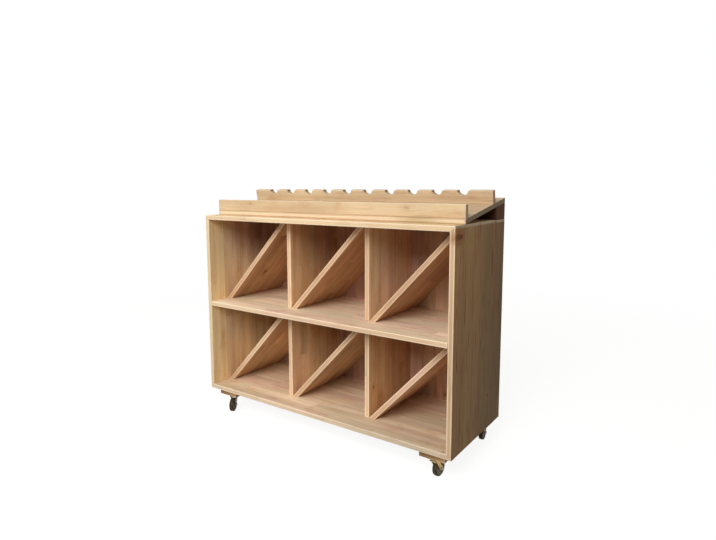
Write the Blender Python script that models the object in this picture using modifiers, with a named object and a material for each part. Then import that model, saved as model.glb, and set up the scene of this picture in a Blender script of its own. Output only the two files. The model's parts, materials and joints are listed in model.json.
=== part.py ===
"""Wine display rack on casters: an open case with diagonal bottle bins and a tilted display tray.

Metres, +Z up, floor at z = 0, origin at the middle of the footprint. The open front faces -Y.
Left and right are as seen from the front. Every length below is a real size of the rack.
"""

import math

import bmesh
import bpy
from mathutils import Matrix, Vector

# Case
case_width = 1.200
case_depth = 0.440
case_height = 0.790
board_thickness = 0.020
back_thickness = 0.020
divider_thickness = 0.020
diagonal_thickness = 0.020
divider_setback = 0.095
columns = 3
tiers = 2

# Display tray on the case
tray_setback = 0.078
tray_rise = 0.063
tray_floor_thickness = 0.018
lip_height = 0.048
lip_thickness = 0.020
rail_height = 0.0485
rail_thickness = 0.022
rail_setback = 0.249
notch_radius = 0.0225
notch_raise = 0.0035
notch_count = 10
notch_end_margin = 0.118
riser_depth = 0.086

# Packing blocks between the case and its casters
block_length = 0.100
block_depth = 0.105
block_thickness = 0.020
block_setback = 0.010

# Casters
caster_height = 0.076
plate_length = 0.058
plate_width = 0.042
plate_thickness = 0.0025
plate_corner = 0.006
screw_hole_radius = 0.0024
screw_hole_edge = 0.008
kingpin_radius = 0.004
kingpin_head_radius = 0.0065
kingpin_head_thickness = 0.003
race_radius = 0.017
race_height = 0.006
race_groove = 0.0025
fork_sheet = 0.0025
fork_dish_radius = 0.0175
fork_eye_radius = 0.0075
fork_brow = 0.006
fork_brow_drop = 0.004
fork_leg_rear = 0.010
fork_leg_hollow = 0.001
trail = 0.022
axle_radius = 0.003
bolt_head_radius = 0.0052
bolt_head_thickness = 0.0036
nut_thickness = 0.0045
bolt_tail = 0.0015
wheel_diameter = 0.060
tyre_width = 0.018
tyre_depth = 0.0062
tyre_shoulder = 0.004
hub_length = 0.019
hub_boss_radius = 0.0065
hub_rim_thickness = 0.0028
hub_recess = 0.0032
wheel_side_play = 0.0012

# The four corners differ a little. Per corner: how far in from the case's side its block starts,
# how far in its kingpin stands from the side and from the front or back, and the direction in
# which its wheel trails the kingpin, in degrees from +X
corners = {
    "front_left": (0.050, 0.098, 0.049, -61.0),
    "front_right": (0.027, 0.075, 0.035, 85.0),
    "rear_left": (0.022, 0.056, 0.052, 60.0),
    "rear_right": (0.015, 0.051, 0.053, 97.0),
}

# Fits and edges
joint_gap = 0.0003
edge_ease = 0.0025
small_ease = 0.0015
overrun = 0.010
weld_distance = 0.00001
merge_distance = 0.00005

# Finishes: colour, roughness and metallic value
pine = ((0.60, 0.40, 0.22), 0.60, 0.0)
pine_dark = ((0.30, 0.16, 0.09), 0.65, 0.0)
zinc = ((0.62, 0.52, 0.32), 0.35, 1.0)
steel = ((0.55, 0.54, 0.52), 0.35, 1.0)
grey_plastic = ((0.30, 0.30, 0.28), 0.45, 0.0)
black_rubber = ((0.02, 0.02, 0.018), 0.70, 0.0)

# Facet counts
arc_steps = 12
corner_steps = 4
wheel_steps = 32
hub_steps = 24
small_steps = 16
hex_sides = 6

# Places worked out from the sizes
left = -case_width / 2
right = case_width / 2
front = -case_depth / 2
rear = case_depth / 2
case_bottom = caster_height + joint_gap + block_thickness + joint_gap
case_top = case_bottom + case_height
back_face = rear - back_thickness
inner_depth_end = back_face - joint_gap
mitre_gap = joint_gap / math.sqrt(2)
cell_width = (case_width - 2 * board_thickness - (columns - 1) * divider_thickness) / columns
cell_height = (case_height - (tiers + 1) * board_thickness) / tiers
tray_tilt = math.atan2(tray_rise, case_depth - tray_setback)
wheel_radius = wheel_diameter / 2
axle_drop = caster_height - wheel_radius
fork_top = plate_thickness + joint_gap + race_height + joint_gap
fork_inner_half = hub_length / 2 + wheel_side_play
fork_outer_half = fork_inner_half + fork_sheet


def start_scene():
    """Empty the scene and return the collections for the pieces and for the cutters."""
    for item in list(bpy.data.objects):
        bpy.data.objects.remove(item, do_unlink=True)
    pieces = bpy.data.collections.new("wine_display_rack")
    tools = bpy.data.collections.new("cutters")
    bpy.context.scene.collection.children.link(pieces)
    bpy.context.scene.collection.children.link(tools)
    return pieces, tools


def make_material(name, finish):
    """A Principled material with one colour, roughness and metallic value."""
    colour, roughness, metallic = finish
    material = bpy.data.materials.new(name)
    material.use_nodes = True
    shader = material.node_tree.nodes["Principled BSDF"]
    shader.inputs["Base Color"].default_value = (*colour, 1.0)
    shader.inputs["Roughness"].default_value = roughness
    shader.inputs["Metallic"].default_value = metallic
    material.diffuse_color = (*colour, 1.0)
    return material


part_collection, cutter_collection = start_scene()


def place(name, mesh, finish, location=(0, 0, 0), rotation=(0, 0, 0), parent=None):
    """Link a mesh as one named piece with its own material."""
    piece = bpy.data.objects.new(name, mesh)
    mesh.materials.append(make_material(name, finish))
    piece.location = location
    piece.rotation_euler = rotation
    piece.parent = parent
    part_collection.objects.link(piece)
    return piece


def place_empty(name, location, rotation=(0, 0, 0), parent=None):
    """An empty that marks a joint or carries a tilted frame."""
    empty = bpy.data.objects.new(name, None)
    empty.location = location
    empty.rotation_euler = rotation
    empty.parent = parent
    part_collection.objects.link(empty)
    return empty


def make_cutter(name, mesh, location=(0, 0, 0), rotation=(0, 0, 0), parent=None):
    """A hidden solid that Boolean modifiers use."""
    cutter = bpy.data.objects.new(name, mesh)
    cutter.location = location
    cutter.rotation_euler = rotation
    cutter.parent = parent
    cutter.hide_render = True
    cutter.display_type = "WIRE"
    cutter_collection.objects.link(cutter)
    return cutter


def combine(piece, cutter, operation):
    """Cut, join or intersect a piece with a hidden solid."""
    modifier = piece.modifiers.new(operation.lower(), "BOOLEAN")
    modifier.operation = operation
    modifier.solver = "EXACT"
    modifier.object = cutter


def box_mesh(name, size):
    """A box about its own centre."""
    mesh = bpy.data.meshes.new(name)
    work = bmesh.new()
    bmesh.ops.create_cube(work, size=1)
    bmesh.ops.scale(work, vec=size, verts=work.verts)
    work.to_mesh(mesh)
    work.free()
    return mesh


def rod_mesh(name, radius, length, sides):
    """A round or hexagonal rod about its own centre, along Z."""
    mesh = bpy.data.meshes.new(name)
    work = bmesh.new()
    bmesh.ops.create_cone(
        work, cap_ends=True, segments=sides, radius1=radius, radius2=radius, depth=length
    )
    work.to_mesh(mesh)
    work.free()
    return mesh


def outline_mesh(name, points, thickness, turn):
    """A flat outline given thickness. The matrix turn takes its XY plane to where it stands."""
    curve = bpy.data.curves.new(name, "CURVE")
    curve.dimensions = "2D"
    curve.fill_mode = "BOTH"
    curve.extrude = thickness / 2
    spline = curve.splines.new("POLY")
    spline.points.add(len(points) - 1)
    for spot, (across, along) in zip(spline.points, points):
        spot.co = (across, along, 0, 1)
    spline.use_cyclic_u = True
    holder = bpy.data.objects.new(name, curve)
    cutter_collection.objects.link(holder)
    graph = bpy.context.evaluated_depsgraph_get()
    mesh = bpy.data.meshes.new_from_object(holder.evaluated_get(graph))
    bpy.data.objects.remove(holder, do_unlink=True)
    work = bmesh.new()
    work.from_mesh(mesh)
    bmesh.ops.remove_doubles(work, verts=work.verts, dist=weld_distance)
    flat_angle = math.radians(1)
    bmesh.ops.dissolve_limit(work, angle_limit=flat_angle, verts=work.verts, edges=work.edges)
    bmesh.ops.transform(work, matrix=turn, verts=work.verts)
    bmesh.ops.recalc_face_normals(work, faces=work.faces)
    work.to_mesh(mesh)
    work.free()
    return mesh


# Turns for outline_mesh: the outline's plane stands in XZ (thickness along Y) or in YZ (along X)
stand_in_xz = Matrix.Rotation(math.pi / 2, 4, "X")
stand_in_yz = Matrix.Rotation(math.pi / 2, 4, "Z") @ Matrix.Rotation(math.pi / 2, 4, "X")
lie_flat = Matrix.Identity(4)


def turned_mesh(piece_name, profile):
    """The bare profile of a turned shape: (radius, height) points, down the outside first."""
    mesh = bpy.data.meshes.new(piece_name)
    work = bmesh.new()
    spots = [work.verts.new((radius, 0, height)) for radius, height in profile]
    closed = profile[0][0] > 0
    last = len(spots) if closed else len(spots) - 1
    for index in range(last):
        work.edges.new((spots[index], spots[(index + 1) % len(spots)]))
    work.to_mesh(mesh)
    work.free()
    return mesh


def turn_round(piece, steps):
    """Give a profile its full turn about Z."""
    screw = piece.modifiers.new("turn", "SCREW")
    screw.axis = "Z"
    screw.angle = 2 * math.pi
    screw.steps = steps
    screw.render_steps = steps
    screw.use_merge_vertices = True
    screw.merge_threshold = merge_distance
    screw.use_normal_calculate = False
    shade_cut(piece)


def ease_all(piece, width):
    """Round over every sharp edge of a board."""
    bevel = piece.modifiers.new("ease", "BEVEL")
    bevel.width = width
    bevel.segments = 2
    bevel.limit_method = "ANGLE"
    bevel.angle_limit = math.radians(30)
    shade_eased(piece)


def ease_some(piece, width, wanted):
    """Round over the edges of a board for which wanted(first end, second end) is true."""
    mesh = piece.data
    weights = mesh.attributes.new("bevel_weight_edge", "FLOAT", "EDGE")
    for edge in mesh.edges:
        first, second = (mesh.vertices[index].co for index in edge.vertices)
        weights.data[edge.index].value = float(wanted(first, second))
    bevel = piece.modifiers.new("ease", "BEVEL")
    bevel.width = width
    bevel.segments = 2
    bevel.limit_method = "WEIGHT"
    shade_eased(piece)


def shade_eased(piece):
    """Smooth shading with the flat faces kept crisp."""
    piece.data.shade_smooth()
    piece.data.set_sharp_from_angle(angle=math.radians(50))


def shade_cut(piece):
    """Keep a cut or turned piece's result as its mesh, and shade it smooth but for its edges."""
    graph = bpy.context.evaluated_depsgraph_get()
    piece.data = bpy.data.meshes.new_from_object(piece.evaluated_get(graph))
    piece.modifiers.clear()
    shade_eased(piece)


def runs_along(first, second, axis):
    """True where an edge is parallel to one axis, given by its number."""
    step = second - first
    return abs(step[axis]) > weld_distance and all(
        abs(step[other]) < weld_distance for other in range(3) if other != axis
    )


def front_edges(mesh):
    """A test for the edges that lie in the frontmost plane of a mesh and follow X or Z."""
    plane = min(vertex.co.y for vertex in mesh.vertices)

    def wanted(first, second):
        in_plane = max(abs(first.y - plane), abs(second.y - plane)) < weld_distance
        return in_plane and (runs_along(first, second, 0) or runs_along(first, second, 2))

    return wanted


def front_slopes(mesh):
    """A test for the edges that lie in the frontmost plane of a mesh and slope."""
    plane = min(vertex.co.y for vertex in mesh.vertices)

    def wanted(first, second):
        in_plane = max(abs(first.y - plane), abs(second.y - plane)) < weld_distance
        return in_plane and not runs_along(first, second, 0)

    return wanted


def board(name, low, high, finish, parent=None):
    """A rectangular board between two corners, its edges left for the caller to ease."""
    low = Vector(low)
    high = Vector(high)
    mesh = box_mesh(name, high - low)
    return place(name, mesh, finish, (low + high) / 2, parent=parent)


def arc_points(centre, radius, start_degrees, end_degrees, steps):
    """Points on an arc, both ends included."""
    points = []
    for index in range(steps + 1):
        angle = math.radians(start_degrees + (end_degrees - start_degrees) * index / steps)
        points.append((centre[0] + radius * math.cos(angle), centre[1] + radius * math.sin(angle)))
    return points


def make_case():
    """Four mitred boards make the case, with a shelf and a back panel housed between them."""
    thick = board_thickness
    gap = mitre_gap
    middle = (0, 0, case_bottom)

    def mitred(name, points):
        mesh = outline_mesh(name, points, case_depth, stand_in_xz)
        piece = place(name, mesh, pine, middle)
        ease_some(piece, edge_ease, front_edges(mesh))

    side_points = [
        (left, gap),
        (left + thick, thick + gap),
        (left + thick, case_height - thick - gap),
        (left, case_height - gap),
    ]
    mitred("side_panel_left", side_points)
    mitred("side_panel_right", [(-across, up) for across, up in reversed(side_points)])
    bottom_points = [
        (left + gap, 0),
        (right - gap, 0),
        (right - thick - gap, thick),
        (left + thick + gap, thick),
    ]
    mitred("bottom_panel", bottom_points)
    mitred("top_panel", [(across, case_height - up) for across, up in reversed(bottom_points)])

    inside_left = left + thick + joint_gap
    inside_right = right - thick - joint_gap
    back = board(
        "back_panel",
        (inside_left, back_face, case_bottom + thick + joint_gap),
        (inside_right, rear, case_top - thick - joint_gap),
        pine,
    )
    shade_eased(back)
    for tier in range(1, tiers):
        shelf_bottom = case_bottom + tier * (thick + cell_height)
        name = "shelf" if tiers == 2 else "shelf_%d" % tier
        shelf = board(
            name,
            (inside_left, front, shelf_bottom),
            (inside_right, inner_depth_end, shelf_bottom + thick),
            pine,
        )
        ease_some(shelf, edge_ease, front_edges(shelf.data))


def cell_left(column):
    """X of a column's left inner face."""
    return left + board_thickness + column * (cell_width + divider_thickness)


def cell_floor(tier):
    """Z of a tier's floor."""
    return case_bottom + board_thickness + tier * (cell_height + board_thickness)


def tier_name(tier):
    return ("lower", "upper")[tier] if tiers == 2 else "tier_%d" % (tier + 1)


def make_dividers():
    """Upright boards between the columns, set back from the front edge."""
    for tier in range(tiers):
        for column in range(1, columns):
            face = cell_left(column) - divider_thickness
            side = ("left", "right")[column - 1] if columns == 3 else str(column)
            divider = board(
                "divider_%s_%s" % (tier_name(tier), side),
                (face, front + divider_setback, cell_floor(tier) + joint_gap),
                (
                    face + divider_thickness,
                    inner_depth_end,
                    cell_floor(tier) + cell_height - joint_gap,
                ),
                pine,
            )
            ease_some(divider, edge_ease, front_edges(divider.data))


def diagonal_foot(width, height, thickness):
    """Level width of a board's cut end, when it leans from corner to corner of a cell.

    The board runs over (width - foot) by height, and thickness is measured square to it.
    """
    lean = height**2 - thickness**2
    root = math.sqrt((width * thickness) ** 2 + lean * (width**2 + height**2))
    return thickness * (root - width * thickness) / lean


def make_diagonals():
    """One leaning board splits each cell, from its lower left to its upper right corner."""
    clear_width = cell_width - 2 * joint_gap
    clear_height = cell_height - 2 * joint_gap
    foot = diagonal_foot(clear_width, clear_height, diagonal_thickness)
    depth = inner_depth_end - front - divider_setback
    middle_depth = front + divider_setback + depth / 2
    for tier in range(tiers):
        for column in range(columns):
            name = "diagonal_%s_%d" % (tier_name(tier), column + 1)
            points = [
                (0, 0),
                (foot, 0),
                (clear_width, clear_height),
                (clear_width - foot, clear_height),
            ]
            mesh = outline_mesh(name, points, depth, stand_in_xz)
            corner = (cell_left(column) + joint_gap, middle_depth, cell_floor(tier) + joint_gap)
            piece = place(name, mesh, pine, corner)
            ease_some(piece, edge_ease, front_slopes(mesh))


def rail_outline():
    """The bottle rail's outline: a strip with a row of round notches in its top edge."""
    pitch = (case_width - 2 * notch_end_margin) / (notch_count - 1)
    dip = math.degrees(math.asin(notch_raise / notch_radius))
    points = [(left, 0), (right, 0), (right, rail_height)]
    for index in reversed(range(notch_count)):
        centre = (left + notch_end_margin + index * pitch, rail_height + notch_raise)
        points += arc_points(centre, notch_radius, -dip, dip - 180, arc_steps)
    points.append((left, rail_height))
    return points


def tray_level(depth):
    """Height of the tray's underside above the case's top, depth behind the tray's front."""
    return joint_gap + depth * math.tan(tray_tilt)


def make_tray():
    """The tilted tray: floor, front lip and notched bottle rail, held up by a beam behind."""
    tray_front = front + tray_setback
    tray_depth = case_depth - tray_setback
    floor_rise = tray_floor_thickness / math.cos(tray_tilt)
    gap_rise = joint_gap / math.cos(tray_tilt)

    def across_case(name, points, finish, ease):
        mesh = outline_mesh(name, points, case_width, stand_in_yz)
        ease_all(place(name, mesh, finish, (0, tray_front, case_top)), ease)

    floor_points = [
        (0, tray_level(0)),
        (tray_depth, tray_level(tray_depth)),
        (tray_depth, tray_level(tray_depth) + floor_rise),
        (0, tray_level(0) + floor_rise),
    ]
    across_case("tray_floor", floor_points, pine, small_ease)
    lip_foot = floor_rise + gap_rise
    lip_top = tray_level(0) + floor_rise + lip_height
    lip_points = [
        (0, tray_level(0) + lip_foot),
        (lip_thickness, tray_level(lip_thickness) + lip_foot),
        (lip_thickness, lip_top),
        (0, lip_top),
    ]
    across_case("tray_front_lip", lip_points, pine, edge_ease)
    beam_front = tray_depth - riser_depth
    beam_points = [
        (beam_front, joint_gap),
        (tray_depth, joint_gap),
        (tray_depth, tray_level(tray_depth) - gap_rise),
        (beam_front, tray_level(beam_front) - gap_rise),
    ]
    across_case("rear_riser", beam_points, pine_dark, small_ease)

    slope = place_empty("tray_slope", (0, tray_front, case_top + joint_gap), (tray_tilt, 0, 0))
    rail_mesh = outline_mesh("bottle_rail", rail_outline(), rail_thickness, stand_in_xz)
    rail_spot = (0, rail_setback + rail_thickness / 2, tray_floor_thickness + joint_gap)
    rail = place("bottle_rail", rail_mesh, pine, rail_spot, parent=slope)
    ease_all(rail, small_ease)


def plate_outline():
    """A caster plate's outline, a rectangle with round corners."""
    half_x = plate_length / 2 - plate_corner
    half_y = plate_width / 2 - plate_corner
    points = []
    for index, (side_x, side_y) in enumerate(((1, 1), (-1, 1), (-1, -1), (1, -1))):
        centre = (side_x * half_x, side_y * half_y)
        start = 90 * index
        points += arc_points(centre, plate_corner, start, start + 90, corner_steps)
    return points


def fork_side_outline():
    """The fork seen from the side: a brow under the race, and slim legs leaning to the axle."""
    eye = (trail, -axle_drop)
    sheet_under = -fork_top - fork_sheet
    lean = math.degrees(math.atan2(trail, axle_drop - fork_top))
    tip = arc_points(eye, fork_eye_radius, lean, lean - 180, arc_steps)
    brow_end = Vector((fork_dish_radius + fork_brow, -fork_top - fork_brow_drop))
    hollow = Vector((-fork_leg_hollow, brow_end.y))
    leg_end = Vector(tip[0])
    points = [(-fork_dish_radius, -fork_top), (brow_end.x, -fork_top)]
    for index in range(corner_steps + 1):
        share = index / (corner_steps + 1)
        upper = brow_end.lerp(hollow, share)
        lower = hollow.lerp(leg_end, share)
        points.append(tuple(upper.lerp(lower, share)))
    points += tip
    points += [(-fork_leg_rear, sheet_under), (-fork_dish_radius, sheet_under)]
    return points


def fork_end_outline():
    """The fork seen from the end: a bent strip over the wheel, open below."""
    leg_end = -axle_drop - fork_eye_radius - overrun
    sheet_under = -fork_top - fork_sheet
    return [
        (-fork_outer_half, -fork_top),
        (-fork_outer_half, leg_end),
        (-fork_inner_half, leg_end),
        (-fork_inner_half, sheet_under),
        (fork_inner_half, sheet_under),
        (fork_inner_half, leg_end),
        (fork_outer_half, leg_end),
        (fork_outer_half, -fork_top),
    ]


def make_fork(where, swivel):
    """A bent sheet fork with a round dish on top, a kingpin hole and two axle holes."""
    name = "fork_" + where
    strip = outline_mesh(name, fork_end_outline(), 3 * fork_dish_radius + 2 * trail, stand_in_yz)
    fork = place(name, strip, zinc, parent=swivel)
    side = outline_mesh(name + "_side", fork_side_outline(), 3 * fork_outer_half, stand_in_xz)
    combine(fork, make_cutter(name + "_side", side, parent=swivel), "INTERSECT")
    dish_height = -fork_top - fork_sheet / 2
    dish = rod_mesh(name + "_dish", fork_dish_radius, fork_sheet, hub_steps)
    combine(fork, make_cutter(name + "_dish", dish, (0, 0, dish_height), parent=swivel), "UNION")
    hole = rod_mesh(name + "_hole", kingpin_radius + joint_gap, 2 * overrun, small_steps)
    combine(fork, make_cutter(name + "_hole", hole, (0, 0, dish_height), parent=swivel), "DIFFERENCE")
    bore = rod_mesh(name + "_bore", axle_radius + joint_gap, 3 * fork_outer_half, small_steps)
    across = (math.pi / 2, 0, 0)
    axle_spot = (trail, 0, -axle_drop)
    combine(fork, make_cutter(name + "_bore", bore, axle_spot, across, swivel), "DIFFERENCE")
    shade_cut(fork)


def make_mounting(where, swivel):
    """The fixed half of a caster: plate with screw holes, ball race and riveted kingpin."""
    name = "caster_plate_" + where
    mesh = outline_mesh(name, plate_outline(), plate_thickness, lie_flat)
    plate_yaw = -swivel.rotation_euler.z
    spot = (0, 0, -plate_thickness / 2)
    plate = place(name, mesh, zinc, spot, (0, 0, plate_yaw), swivel)
    hole = rod_mesh(name + "_bore", kingpin_radius + joint_gap, 2 * overrun, small_steps)
    combine(plate, make_cutter(name + "_bore", hole, spot, parent=swivel), "DIFFERENCE")
    reach_x = plate_length / 2 - screw_hole_edge
    reach_y = plate_width / 2 - screw_hole_edge
    for index, (side_x, side_y) in enumerate(((1, 1), (-1, 1), (-1, -1), (1, -1))):
        screw_spot = Vector((side_x * reach_x, side_y * reach_y, -plate_thickness / 2))
        screw_spot.rotate(Matrix.Rotation(plate_yaw, 3, "Z"))
        screw_name = "%s_screw_%d" % (name, index + 1)
        screw = rod_mesh(screw_name, screw_hole_radius, 2 * overrun, small_steps // 2)
        combine(plate, make_cutter(screw_name, screw, screw_spot, parent=swivel), "DIFFERENCE")
    shade_cut(plate)

    race_top = -plate_thickness - joint_gap
    race_bottom = race_top - race_height
    lip_share = 1 / 4
    race_profile = [
        (race_radius, race_top),
        (race_radius, race_top - race_height * lip_share),
        (race_radius - race_groove, race_top - race_height / 2),
        (race_radius, race_bottom + race_height * lip_share),
        (race_radius, race_bottom),
        (kingpin_radius + joint_gap, race_bottom),
        (kingpin_radius + joint_gap, race_top),
    ]
    race_name = "swivel_race_" + where
    race = place(race_name, turned_mesh(race_name, race_profile), steel, parent=swivel)
    turn_round(race, hub_steps)

    head_top = -fork_top - fork_sheet - joint_gap
    head_bottom = head_top - kingpin_head_thickness
    pin_profile = [
        (0, -joint_gap),
        (kingpin_radius, -joint_gap),
        (kingpin_radius, head_top),
        (kingpin_head_radius, head_top),
        (kingpin_head_radius, (head_top + head_bottom) / 2),
        (kingpin_radius, head_bottom),
        (0, head_bottom),
    ]
    pin_name = "kingpin_" + where
    pin = place(pin_name, turned_mesh(pin_name, pin_profile), steel, parent=swivel)
    turn_round(pin, small_steps)


def make_axle(where, swivel):
    """A hexagon bolt through both legs of the fork, with its nut on the far side."""
    axle_spot = Vector((trail, 0, -axle_drop))
    across = (math.pi / 2, 0, 0)
    head_face = fork_outer_half + joint_gap
    head_middle = -head_face - bolt_head_thickness / 2
    shank_end = head_face + nut_thickness + bolt_tail
    bolt_name = "axle_bolt_" + where
    shank = rod_mesh(bolt_name, axle_radius, shank_end - head_middle, small_steps)
    shank_spot = axle_spot + Vector((0, (shank_end + head_middle) / 2, 0))
    bolt = place(bolt_name, shank, steel, shank_spot, across, swivel)
    head = rod_mesh(bolt_name + "_head", bolt_head_radius, bolt_head_thickness, hex_sides)
    head_spot = axle_spot + Vector((0, head_middle, 0))
    combine(bolt, make_cutter(bolt_name + "_head", head, head_spot, across, swivel), "UNION")
    shade_cut(bolt)

    nut_name = "axle_nut_" + where
    nut_spot = axle_spot + Vector((0, head_face + nut_thickness / 2, 0))
    nut_mesh = rod_mesh(nut_name, bolt_head_radius, nut_thickness, hex_sides)
    nut = place(nut_name, nut_mesh, steel, nut_spot, across, swivel)
    bore = rod_mesh(nut_name + "_bore", axle_radius + joint_gap, 2 * overrun, small_steps)
    combine(nut, make_cutter(nut_name + "_bore", bore, nut_spot, across, swivel), "DIFFERENCE")
    shade_cut(nut)


def make_wheel(where, swivel):
    """A dished hub with a rubber tyre, turned about the axle."""
    axle = place_empty("wheel_axis_" + where, (trail, 0, -axle_drop), (math.pi / 2, 0, 0), swivel)
    rim_radius = wheel_radius - tyre_depth
    rim_inner = rim_radius - hub_rim_thickness
    half_tyre = tyre_width / 2
    web_half = half_tyre - hub_recess
    bore = axle_radius + joint_gap
    hub_profile = [
        (rim_radius, half_tyre),
        (rim_radius, -half_tyre),
        (rim_inner, -half_tyre),
        (rim_inner, -web_half),
        (hub_boss_radius, -web_half),
        (hub_boss_radius, -hub_length / 2),
        (bore, -hub_length / 2),
        (bore, hub_length / 2),
        (hub_boss_radius, hub_length / 2),
        (hub_boss_radius, web_half),
        (rim_inner, web_half),
        (rim_inner, half_tyre),
    ]
    hub_name = "wheel_hub_" + where
    hub = place(hub_name, turned_mesh(hub_name, hub_profile), grey_plastic, parent=axle)
    turn_round(hub, hub_steps)

    seat = rim_radius + joint_gap
    shoulder_centre = (wheel_radius - tyre_shoulder, half_tyre - tyre_shoulder)
    shoulder = arc_points(shoulder_centre, tyre_shoulder, 90, 0, corner_steps // 2)
    far_shoulder = [(radius, -height) for radius, height in reversed(shoulder)]
    tyre_profile = [(seat, half_tyre), *shoulder, *far_shoulder, (seat, -half_tyre)]
    tyre_name = "tyre_" + where
    tyre = place(tyre_name, turned_mesh(tyre_name, tyre_profile), black_rubber, parent=axle)
    turn_round(tyre, wheel_steps)


def make_casters():
    """A packing block and a swivel caster under each corner of the case."""
    for row in ("front", "rear"):
        for side in ("left", "right"):
            where = row + "_" + side
            in_x = 1 if side == "left" else -1
            in_y = 1 if row == "front" else -1
            edge_x = left if side == "left" else right
            edge_y = front if row == "front" else rear
            block_inset, pin_inset, pin_setback, heading = corners[where]
            block_ends = (block_inset, block_inset + block_length)
            block_sides = (block_setback, block_setback + block_depth)
            block_x = sorted(edge_x + in_x * reach for reach in block_ends)
            block_y = sorted(edge_y + in_y * reach for reach in block_sides)
            block_top = case_bottom - joint_gap
            block = board(
                "caster_block_" + where,
                (block_x[0], block_y[0], block_top - block_thickness),
                (block_x[1], block_y[1], block_top),
                pine,
            )
            ease_all(block, small_ease)
            pin_spot = (edge_x + in_x * pin_inset, edge_y + in_y * pin_setback, caster_height)
            turn = (0, 0, math.radians(heading))
            swivel = place_empty("swivel_axis_" + where, pin_spot, turn)
            make_mounting(where, swivel)
            make_fork(where, swivel)
            make_axle(where, swivel)
            make_wheel(where, swivel)


make_case()
make_dividers()
make_diagonals()
make_tray()
make_casters()
bpy.context.view_layer.update()
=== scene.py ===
"""Looks of the wine display rack: pine boards, plated casters, a pale studio and the camera.

Metres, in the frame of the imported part: +Z up, the open front faces -Y.
"""

import json
import math

import bmesh
import bpy
from mathutils import Matrix, Vector


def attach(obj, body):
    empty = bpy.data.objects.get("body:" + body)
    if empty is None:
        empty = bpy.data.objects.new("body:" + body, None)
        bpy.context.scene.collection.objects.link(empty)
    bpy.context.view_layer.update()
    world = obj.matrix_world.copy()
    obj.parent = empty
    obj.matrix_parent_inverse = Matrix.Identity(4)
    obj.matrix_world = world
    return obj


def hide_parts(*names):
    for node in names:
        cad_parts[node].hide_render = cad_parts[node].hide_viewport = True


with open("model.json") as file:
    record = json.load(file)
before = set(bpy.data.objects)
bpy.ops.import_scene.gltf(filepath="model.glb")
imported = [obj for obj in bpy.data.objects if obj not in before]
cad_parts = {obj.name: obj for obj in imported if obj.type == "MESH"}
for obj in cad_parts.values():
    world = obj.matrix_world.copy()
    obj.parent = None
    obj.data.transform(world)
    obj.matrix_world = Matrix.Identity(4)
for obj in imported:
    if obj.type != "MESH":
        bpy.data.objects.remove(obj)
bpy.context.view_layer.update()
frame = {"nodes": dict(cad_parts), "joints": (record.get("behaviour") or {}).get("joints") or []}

# Camera, fitted to the photograph's straight edges
camera_place = (1.3333, -1.8110, 1.0135)
camera_heading = math.radians(34.9175)
camera_dip = math.radians(6.9194)
camera_roll = math.radians(-0.1111)
camera_lens = 27.386
camera_shift_y = -0.02514
sensor_width = 36.0

# Floor and world
floor_radius = 9.0
floor_fade = (1.6, 4.0)
floor_matt = 0.20
floor_speckle = 0.04
floor_glow = 0.89
floor_segments = 64
sky_strength = 0.29

# Lamps: the point aimed at, heading and rise in degrees, distance, size and level
key_lamp = ((0.0, 0.0, 0.5), 14.0, 34.0, 5.0, 2.4, 0.73)
fill_lamp = ((-0.7, 0.0, 0.3), -30.0, 38.0, 2.6, 1.8, 0.33)

# Casters, as in the CAD
corners = ("front_left", "front_right", "rear_left", "rear_right")
caster_height = 0.076
plate_thickness = 0.0025
screw_reach = (0.021, 0.013)
wheel_radius = 0.030
tyre_width = 0.018
tyre_depth = 0.0062
tyre_shoulder = 0.004
hub_length = 0.019
axle_hole = 0.0033
joint_gap = 0.0003

# Finer forms of the wheels
tyre_crown = 0.0004
mould_line = 0.0004
mould_line_rise = 0.0002
tread_half = 0.0025
rim_width = 0.0028
web_depth = 0.0032
boss_radius = 0.0065
hub_ease = 0.0006
hub_fillet = 0.0012
tyre_steps = 96
hub_steps = 72

# Screws of the plates: a pan head with a cross
screw_radius = 0.0042
screw_rise = 0.0021
screw_seat_share = 0.96
screw_side_share = 0.28
cross_length_share = 1.15
cross_width_share = 0.24
cross_depth_share = 1.1
screw_steps = 24
dome_steps = 6

# How screws turn, in radians: from one to the next, and with each metre that their plate lies apart
screw_turn = 0.7
screw_turn_per_metre = 9.0

# Faces that meet at more than this are shaded with an edge between them
sharp_angle = math.radians(35)

# Directions of the tilted boards, as in the CAD
tray_tilt = math.atan2(0.063, 0.362)
diagonal_slope = math.radians(46.549)

axis_x = Vector((1, 0, 0))
axis_y = Vector((0, 1, 0))
axis_z = Vector((0, 0, 1))
tray_y = Vector((0, math.cos(tray_tilt), math.sin(tray_tilt)))
tray_z = Vector((0, -math.sin(tray_tilt), math.cos(tray_tilt)))
slope_up = Vector((math.cos(diagonal_slope), 0, math.sin(diagonal_slope)))


def srgb(red, green, blue):
    """A colour given in the usual 0 to 255 values, as Blender's linear one."""
    values = []
    for level in (red, green, blue):
        share = level / 255
        low = share <= 0.04045
        values.append(share / 12.92 if low else ((share + 0.055) / 1.055) ** 2.4)
    return (*values, 1.0)


# Colours of the studio
floor_bounce = srgb(150, 142, 130)
sky_colour = srgb(255, 250, 242)

# Metals of the casters: bright, dull and tinted colour, and least roughness
metals = {
    "yellow_zinc": (srgb(214, 182, 122), srgb(136, 106, 62), srgb(190, 164, 108), 0.28),
    # A darker, greyer copy of the yellow zinc, as painted shade for the casters that sit in shade
    "shaded_zinc": (srgb(146, 132, 108), srgb(84, 72, 56), srgb(112, 100, 80), 0.34),
    "bright_steel": (srgb(176, 172, 160), srgb(118, 112, 100), srgb(150, 140, 116), 0.22),
}

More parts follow.
